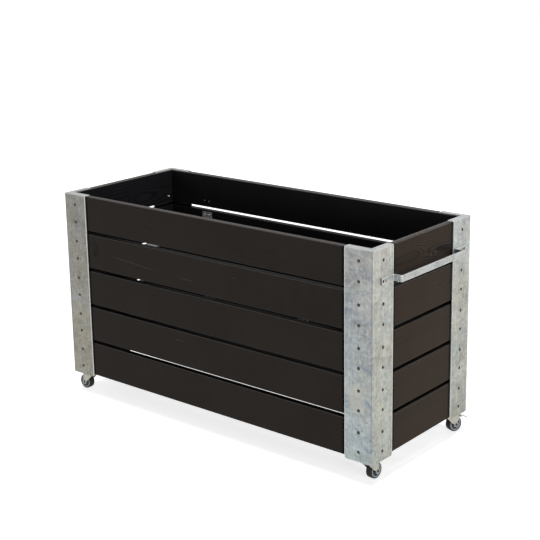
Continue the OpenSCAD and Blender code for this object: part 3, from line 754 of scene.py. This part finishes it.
def coated_screws(name):
    finish, shader, coat = plated(name, (0.026, 0.020, 0.016), 0.45, metallic=0.0, gloss=0.15)
    x, y, z = parts_of(finish, object_place(finish))
    out_x, out_y = size_of(finish, x), size_of(finish, y)
    worn = below(finish, from_board_screws(finish, out_x, out_y, z), 0.0013, 0.0020, 0.90)
    tip = times(finish, below(finish, out_x, INNER_END - 0.0002, INNER_END),
                between(finish, out_y, HANDLE_SCREW - 0.006, HANDLE_SCREW - 0.005),
                below(finish, out_y, SPARE_HOLE + 0.005, SPARE_HOLE + 0.006))
    return glazed(finish, shader, coat, (worn, WORN_HEAD), (tip, BARE_TIP))


plate_zinc = glazed(*plated("plated_plates", (0.42, 0.41, 0.35), 0.38, metallic=0.5))
strap_screw_zinc = glazed(*plated("bright_strap_screws", (0.74, 0.76, 0.78), 0.30, metallic=0.3))
handle_screw_zinc = glazed(*plated("worn_handle_screws", (0.34, 0.265, 0.185), 0.40, metallic=0.3))
screw_coat = coated_screws("coated_screws")
print("plated:", [zinc.name for zinc in (plate_zinc, strap_screw_zinc, handle_screw_zinc, screw_coat)])

# %% [markdown]
# On a caster, the socket and face of the axle head are painted black as painted shade, the fork round
# it is darkened by dust and painted shade, and grease gathers round the pin of the pedal. The frame
# holds each joint's place and axis, so the mask is the distance to that line, and these marks stay
# round the pin whichever way the caster is turned.

# %% Casters
CORNERS = ("front_right", "rear_right", "front_left", "rear_left")
joint_of = {joint["name"]: joint for joint in frame["joints"]}
SOCKET_SHADE = (0.010, 0.012, 0.016, 1)
FORK_STREAK, FORK_DUST_AND_SHADE = (0.24, 0.235, 0.20, 1), (0.090, 0.086, 0.075, 1)
PIN_GREASE = (0.020, 0.019, 0.018, 1)


def from_line(finish, joint):
    """The distance to the line a joint turns about."""
    beside = vector_maths(finish, "SUBTRACT", object_place(finish), joint["pos_m"])[0]
    crossed = vector_maths(finish, "CROSS_PRODUCT", beside, joint["axis"])[0]
    return vector_maths(finish, "LENGTH", crossed)["Value"]


def aged_axle(corner):
    """Bluish zinc. The socket and the face of the head are painted black as painted shade, and the rim is
    bare.
    """
    finish, shader, zinc = plated("axle_zinc_" + corner, (0.20, 0.235, 0.275), 0.30, metallic=0.6)
    socket_shade = below(finish, from_line(finish, joint_of["roll_" + corner]), 0.0037, 0.0041, 0.97)
    return glazed(finish, shader, zinc, (socket_shade, SOCKET_SHADE))


def aged_fork(corner):
    """Warm zinc, darker round the axle head: dust, and painted shade."""
    finish, shader, zinc = plated("fork_zinc_" + corner, (0.44, 0.43, 0.36), 0.38, metallic=0.5)
    streaks = noise(finish, object_place(finish, (1, 1, 0.25)), 190.0, detail=3.0, rough=0.65)
    streak = between(finish, streaks, 0.50, 0.70, 0.0, 0.55)
    dust = below(finish, from_line(finish, joint_of["roll_" + corner]), 0.0046, 0.0066, 0.70, smooth=True)
    return glazed(finish, shader, zinc, (streak, FORK_STREAK), (dust, FORK_DUST_AND_SHADE))


def aged_pedal(corner):
    """Dull zinc that is black with grease round the pin."""
    finish, shader, zinc = plated("pedal_zinc_" + corner, (0.30, 0.285, 0.225), 0.44, metallic=0.25)
    grease = below(finish, from_line(finish, joint_of["brake_" + corner]), 0.0055, 0.0085, 0.92, smooth=True)
    return glazed(finish, shader, zinc, (grease, PIN_GREASE))


axle_finishes = {"axle_" + corner: aged_axle(corner) for corner in CORNERS}
fork_finishes = {"fork_" + corner: aged_fork(corner) for corner in CORNERS}
pedal_finishes = {"brake_pedal_" + corner: aged_pedal(corner) for corner in ("rear_right", "rear_left")}
print(len(axle_finishes) + len(fork_finishes) + len(pedal_finishes), "caster finishes")

# %% [markdown]
# A caster wheel is a hard, blue-grey plastic body with a nearly black rubber ring, dusty in its
# pores. One function serves both, because moulded pieces differ only in their two tones, their
# roughness, their gloss and the fineness of their grain.

# %% Rubber and plastic
def moulded(name, low, high, roughness, grain, gloss=0.5):
    finish, shader = new_finish(name, Specular_IOR_Level=gloss)
    place = object_place(finish)
    dust = noise(finish, place, 120.0, detail=5.0, rough=0.65)
    tone = between(finish, dust, 0.35, 0.75)
    wire(finish, blend(finish, tone, low, high), shader.inputs["Base Color"])
    smooth, dusty = roughness - 0.06, roughness + 0.08
    wire(finish, between(finish, dust, 0.3, 0.7, smooth, dusty), shader.inputs["Roughness"])
    raise_surface(finish, shader, noise(finish, place, grain, detail=2.0), 0.0002, 0.4)
    return finish


tyre_rubber = moulded("tyre_rubber", (0.009, 0.008, 0.007, 1), (0.022, 0.020, 0.018, 1), 0.58, 1400.0, 0.22)
rim_plastic = moulded("rim_plastic", (0.21, 0.26, 0.295, 1), (0.30, 0.355, 0.39, 1), 0.36, 1800.0)
web_plastic_dirt_and_shade = moulded("web_plastic_dirt_and_shade", (0.040, 0.052, 0.064, 1), (0.075, 0.092, 0.108, 1), 0.45, 1800.0)
print("moulded:", tyre_rubber.name, rim_plastic.name, web_plastic_dirt_and_shade.name)

# %% [markdown]
# Most pieces are used just as they come from the CAD model, and need only a finish. The table goes
# by how a piece's name begins, and the longest match counts.

# %% Hand the finishes to the CAD pieces
FINISH_OF = {
    "front_board": long_boards, "back_board": long_boards, "floor_board": long_boards,
    "left_board": left_boards, "right_board": right_boards,
    "post_screws": screw_coat, "handle_screws": handle_screw_zinc, "strap_screws": strap_screw_zinc,
    "post_front_right": right_post_zinc, "post_rear_right": right_post_zinc,
    "post_front_left": left_post_zinc, "post_rear_left": left_post_zinc,
    "handle": handle_zinc, "cross_tie": tie_zinc, "floor_bearer": tie_zinc,
    "caster_plate": plate_zinc, "caster_bolts": plate_zinc, **pedal_finishes,
    "hub": rim_plastic, "tyre": tyre_rubber, **axle_finishes, **fork_finishes,
}
for node_name, piece in frame["nodes"].items():
    stem = max((s for s in FINISH_OF if node_name.startswith(s)), key=len)
    piece.data.materials.clear()
    piece.data.materials.append(FINISH_OF[stem])
print(len(frame["nodes"]), "CAD pieces dressed")

# %% [markdown]
# The wheels are turned work, so a wheel is drawn as half a section and spun about its axle. The
# section is first filled with a face, because a bevel can round the corners of a face but not those
# of a bare outline. The spin merges its two ends, and the normals are made to point outwards.

# %% Turned pieces
def mirrored(corners):
    """The same (first, second, rounding) corners on the other side, in reverse order."""
    return [(first, -second, rounding) for first, second, rounding in reversed(corners)]


def filled_outline(corners, place_of, segments):
    """A face with those corners, each put where place_of says and then rounded."""
    work = bmesh.new()
    points = [work.verts.new(place_of(first, second)) for first, second, rounding in corners]
    work.faces.new(points)
    for size in sorted({rounding for first, second, rounding in corners if rounding}):
        rounded = [point for point, corner in zip(points, corners) if corner[2] == size]
        bmesh.ops.bevel(work, geom=rounded, offset=size, offset_type="OFFSET", segments=segments,
                        profile=0.5, affect="VERTICES", material=-1)
    return work


TURN_STEPS = 72
CREASE = math.radians(35)


def spun(section):
    """A ring from its section's (distance from the axle, place along it, rounding) corners."""
    work = filled_outline(section, lambda radius, along: (radius, 0, along), segments=4)
    bmesh.ops.delete(work, geom=work.faces[:], context="FACES_ONLY")
    bmesh.ops.spin(work, geom=work.verts[:] + work.edges[:], cent=(0, 0, 0), axis=(0, 0, 1), dvec=(0, 0, 0),
                   angle=2 * math.pi, steps=TURN_STEPS, use_merge=True)
    bmesh.ops.remove_doubles(work, verts=work.verts, dist=1e-6)
    bmesh.ops.recalc_face_normals(work, faces=work.faces)
    return work


def to_joint(work, joint):
    """Move what stands about the Z axis to the line a joint turns about."""
    turn = Vector((0, 0, 1)).rotation_difference(Vector(joint["axis"])).to_matrix().to_4x4()
    bmesh.ops.transform(work, matrix=Matrix.Translation(joint["pos_m"]) @ turn, verts=work.verts)


def as_object(work, name):
    mesh = bpy.data.meshes.new(name)
    work.to_mesh(mesh)
    work.free()
    made = bpy.data.objects.new(name, mesh)
    bpy.context.scene.collection.objects.link(made)
    return made


def as_piece(work, name, finish, body, nodes):
    piece = as_object(work, name)
    piece.data.shade_smooth()
    piece.data.set_sharp_from_angle(angle=CREASE)
    piece.data.materials.append(finish)
    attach(piece, body)
    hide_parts(*nodes)
    print(name, len(piece.data.polygons), "faces")
    return piece


print("turned in", TURN_STEPS, "steps")

# %% [markdown]
# The tyre is a ring of rubber with round shoulders. The wheel body has a wide ring beside the tyre,
# which shows as a pale crescent, then a deep recess with a thin web at its bottom, and a boss that runs
# on the axle. The recess gets a darker plastic, for the dirt that lies in it and as painted shade.

# %% Wheels
tyre_low, tyre_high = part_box("tyre_front_right")
WHEEL_RADIUS = measured((tyre_high.z - tyre_low.z) / 2)
# all widths are half widths, from the middle plane of the wheel
SEAT_RADIUS, SEAT_HALF, TREAD_HALF = 0.0210, 0.0104, 0.0110
BORE_RADIUS, BOSS_RADIUS, BOSS_END = 0.00306, 0.0072, 0.0126
WEB_FROM, WEB_TO, WEB_AT_BOSS, WEB_AT_RING = 0.0080, 0.0146, 0.0042, 0.0034
RING_FROM, RING_TO, RING_FACE = 0.0164, 0.0213, 0.0100

TYRE_SIDE = [(SEAT_RADIUS, -SEAT_HALF, 0.0004), (WHEEL_RADIUS, -TREAD_HALF, 0.0030)]
BODY_SIDE = [(BORE_RADIUS, BOSS_END, 0.0003), (BOSS_RADIUS, BOSS_END, 0.0008),
             (WEB_FROM, WEB_AT_BOSS, 0.0014), (WEB_TO, WEB_AT_RING, 0.0014),
             (RING_FROM, RING_FACE - 0.0002, 0.0007), (RING_TO, RING_FACE, 0.0006)]


def turned_on_axle(side, name, corner, finish, node, recess=0.0):
    """A piece of the wheel. Its faces nearer the axle than the recess take the second finish."""
    turned = spun(side + mirrored(side))
    for face in turned.faces:
        middle = face.calc_center_median()
        face.material_index = int(math.hypot(middle.x, middle.y) < recess)
    to_joint(turned, joint_of["roll_" + corner])
    return as_piece(turned, name + corner, finish, "wheel_" + corner, [node + corner])


for corner in CORNERS:
    turned_on_axle(TYRE_SIDE, "rubber_ring_", corner, tyre_rubber, "tyre_")
    body = turned_on_axle(BODY_SIDE, "wheel_body_", corner, rim_plastic, "hub_",
                          recess=RING_FROM - 0.0001)
    # the second finish is dirt and painted shade in the recess
    body.data.materials.append(web_plastic_dirt_and_shade)

# %% [markdown]
# The handle is a flat bar bent to a hat. Its plan is one outline: the bends are rounded corners of
# that outline, which is then pulled up to the bar's height. Rolled bar never has sharp edges, so a
# small bevel runs along all of them and catches the light. The holes are cut with round cutters.

# %% Handle
BAR_OUT = measured(handle_high.x - handle_low.x)
BAR_HEIGHT = measured(handle_high.z - handle_low.z)
LEG_SIDE = 0.167
BEND = 0.006
BAR_ROUNDING = 0.0007
HOLE_RADIUS = 0.00275
HALF_OUTSIDE = [(0.0, FOOT_END, 0), (BAR, FOOT_END, 0),
                (BAR, LEG_SIDE, BEND - BAR), (BAR_OUT, LEG_SIDE, BEND)]
HALF_INSIDE = [(BAR_OUT - BAR, LEG_SIDE - BAR, BEND - BAR), (0.0, LEG_SIDE - BAR, BEND)]
HAT_PLAN = HALF_OUTSIDE + mirrored(HALF_OUTSIDE) + mirrored(HALF_INSIDE) + HALF_INSIDE


def bent_bar():
    hat = filled_outline(HAT_PLAN, lambda out, along: (handle_low.x + out, along, handle_low.z), segments=8)
    grown = bmesh.ops.extrude_face_region(hat, geom=hat.faces[:])
    upper = [made for made in grown["geom"] if isinstance(made, bmesh.types.BMVert)]
    bmesh.ops.translate(hat, vec=(0, 0, BAR_HEIGHT), verts=upper)
    bmesh.ops.recalc_face_normals(hat, faces=hat.faces)
    rims = [e for e in hat.edges if abs(e.verts[0].co.z - e.verts[1].co.z) < 1e-6]
    bmesh.ops.bevel(hat, geom=rims, offset=BAR_ROUNDING, offset_type="OFFSET", segments=3, profile=0.5,
                    affect="EDGES", material=-1)
    return hat


def hole_cutters():
    cutters = bmesh.new()
    for side in (-1, 1):
        for aside in (HANDLE_SCREW, SPARE_HOLE):
            centre = Matrix.Translation((handle_low.x + BAR / 2, side * aside, HANDLE_LEVEL))
            bmesh.ops.create_cone(cutters, cap_ends=True, segments=32, depth=3 * BAR,
                                  radius1=HOLE_RADIUS, radius2=HOLE_RADIUS,
                                  matrix=centre @ Matrix.Rotation(math.pi / 2, 4, "Y"))
    return cutters


def cut(solid, cutter):
    """The solid less the cutter, as a new mesh."""
    pair = as_object(solid, "solid"), as_object(cutter, "cutter")
    knife = pair[0].modifiers.new("cut", "BOOLEAN")
    knife.operation, knife.solver, knife.object = "DIFFERENCE", "EXACT", pair[1]
    whole = pair[0].evaluated_get(bpy.context.evaluated_depsgraph_get())
    cut_mesh = bpy.data.meshes.new_from_object(whole)
    for helper in pair:
        bpy.data.objects.remove(helper)
    work = bmesh.new()
    work.from_mesh(cut_mesh)
    return work


as_piece(cut(bent_bar(), hole_cutters()), "flat_bar_handle", handle_zinc, "box", ["handle"])
print("handle stands", BAR_OUT, "m off the posts")

# %% [markdown]
# The stage is a plain pale floor. The picture needs it white, but a glowing floor would also light
# the planter from below. So the glow is switched by the kind of ray: only rays that come from the
# camera, or by way of a gloss or a glass, see it.

# %% Floor
FLOOR_HALF = 14.0


def seen_directly(owner):
    """One for the rays that may see the glow. The owner has the node tree."""
    path = add(owner, "LightPath").outputs
    return maths(owner, "MAXIMUM", path["Is Camera Ray"], path["Is Glossy Ray"], path["Is Transmission Ray"])


def pale_floor():
    finish = bpy.data.materials.new("pale_floor")
    finish.use_nodes = True
    finish.node_tree.nodes.clear()
    paint = add(finish, "BsdfDiffuse", {"Color": (0.80, 0.80, 0.80, 1)})
    glow = add(finish, "Emission", {"Color": (1, 1, 1, 1), "Strength": 0.76})
    lift = add(finish, "MixShader", {0: seen_directly(finish), 2: glow.outputs[0]})
    both = add(finish, "AddShader", {0: paint.outputs[0], 1: lift.outputs[0]})
    add(finish, "OutputMaterial", {0: both.outputs[0]})
    return finish


sheet = bmesh.new()
bmesh.ops.create_grid(sheet, x_segments=1, y_segments=1, size=FLOOR_HALF)
floor = as_object(sheet, "floor")
floor.data.materials.append(pale_floor())
print("floor", 2 * FLOOR_HALF, "m wide")

# %% [markdown]
# The sky is treated like the floor: white where it is seen, and weak as a light. Of the four soft
# suns, a low one from the right gives the end wall its brighter tone, one from above brings out the
# top edges, and two faint ones keep the long sides from going black.

# %% Sky and suns
SKY_LIGHT = 0.12
SUNS = (("side_sun", (0.97, -0.22, 0.10), 1.95, 24), ("front_sun", (-0.25, -0.95, 0.08), 0.50, 14),
        ("top_sun", (0.03, -0.03, 1.0), 1.75, 26), ("rear_sun", (-0.30, 0.95, 0.12), 0.55, 20))


def soft_sun(name, towards, strength, spread):
    """A sun that shines from that direction, and looks so many degrees wide."""
    data = bpy.data.lights.new(name, "SUN")
    data.energy = strength
    data.angle = math.radians(spread)
    lamp = bpy.data.objects.new(name, data)
    lamp.rotation_mode = "QUATERNION"
    lamp.rotation_quaternion = Vector(towards).to_track_quat("Z", "Y")
    bpy.context.scene.collection.objects.link(lamp)


world = bpy.data.worlds.new("sky")
bpy.context.scene.world = world
world.use_nodes = True
world.node_tree.nodes.clear()
weak, white = (add(world, "Background", {"Color": (1, 1, 1, 1), "Strength": strength})
               for strength in (SKY_LIGHT, 1.0))
sky = add(world, "MixShader", {0: seen_directly(world), 1: weak.outputs[0], 2: white.outputs[0]})
add(world, "OutputWorld", {0: sky.outputs[0]})
for sun in SUNS:
    soft_sun(*sun)
bpy.context.scene.view_settings.view_transform = "Standard"
print("suns:", [sun[0] for sun in SUNS])
